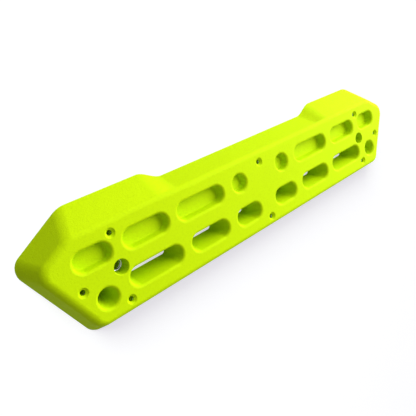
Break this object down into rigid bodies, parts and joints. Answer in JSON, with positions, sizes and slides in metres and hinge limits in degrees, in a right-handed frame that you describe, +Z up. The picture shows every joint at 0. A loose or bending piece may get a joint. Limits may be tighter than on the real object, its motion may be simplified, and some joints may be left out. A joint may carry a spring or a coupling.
{
  "type": "hangboard",
  "caption": "Wall-mounted climbing hangboard: long moulded board with pointed ends, blind finger pockets, through slots, and bolt and screw holes with cast-in washers.",
  "frame": {"origin": "on the flat back face, on the centre line, level with the two bolt holes", "axes": "+X along the board, -Y out of the wall at the climber, +Z up the wall"},
  "size_m": [0.6778, 0.036, 0.1555],
  "materials": {
    "moulded_polyurethane": "fine moulded grain, matt, neon yellow-green",
    "zinc_plated_steel": "stamped, zinc plated"
  },
  "bodies": {
    "root": {"board_body": "moulded_polyurethane", "bolt_washer_left": "zinc_plated_steel", "bolt_washer_right": "zinc_plated_steel", "screw_washer_upper_left": "zinc_plated_steel", "screw_washer_upper_right": "zinc_plated_steel", "screw_washer_outer_left": "zinc_plated_steel", "screw_washer_outer_right": "zinc_plated_steel", "screw_washer_lower_left": "zinc_plated_steel", "screw_washer_lower_right": "zinc_plated_steel", "screw_washer_centre_top": "zinc_plated_steel", "screw_washer_centre_bottom": "zinc_plated_steel"}
  },
  "joints": []
}
